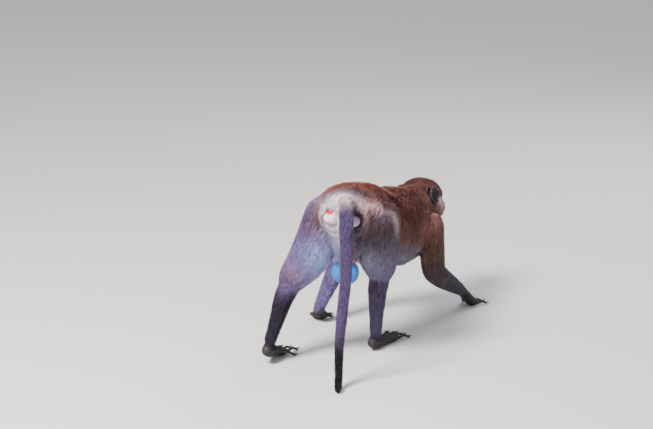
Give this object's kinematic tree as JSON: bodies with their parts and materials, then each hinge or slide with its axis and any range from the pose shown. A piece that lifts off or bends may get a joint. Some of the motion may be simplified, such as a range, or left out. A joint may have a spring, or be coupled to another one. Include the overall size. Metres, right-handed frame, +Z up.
{
  "type": "male vervet monkey, still life-size model",
  "caption": "Life-size still model of an adult male vervet monkey, foraging on all fours with its rump high, front lowered, one hand reaching ahead and tail hanging to the floor.",
  "frame": {"origin": "on the floor under the middle of the whole monkey's box", "axes": "+Z up, +Y from the head towards the tail, along the trunk, and +X to the monkey's left"},
  "size_m": [0.315, 0.6616, 0.3478],
  "materials": {
    "coat": "short to medium fur, russet brown back over lavender grey limbs",
    "dark_skin": "bare and thinly haired black skin",
    "blue_skin": "smooth turquoise blue bare skin",
    "pink_pad": "pale horny sitting pads",
    "eye": "wet, dark brown"
  },
  "bodies": {
    "root": {"head": "coat", "neck": "coat", "chest": "coat", "belly": "coat", "rump": "coat", "thigh_left": "coat", "thigh_right": "coat", "shank_left": "coat", "shank_right": "coat", "upper_arm_left": "coat", "upper_arm_right": "coat", "forearm_left": "coat", "forearm_right": "coat", "tail_root": "coat", "tail_middle": "coat", "tail_tip": "coat", "foot_left": "dark_skin", "foot_right": "dark_skin", "hand_left": "dark_skin", "hand_right": "dark_skin", "ear_left": "dark_skin", "ear_right": "dark_skin", "scrotum": "blue_skin", "callosity_left": "pink_pad", "callosity_right": "pink_pad", "eye_left": "eye", "eye_right": "eye"}
  },
  "joints": []
}
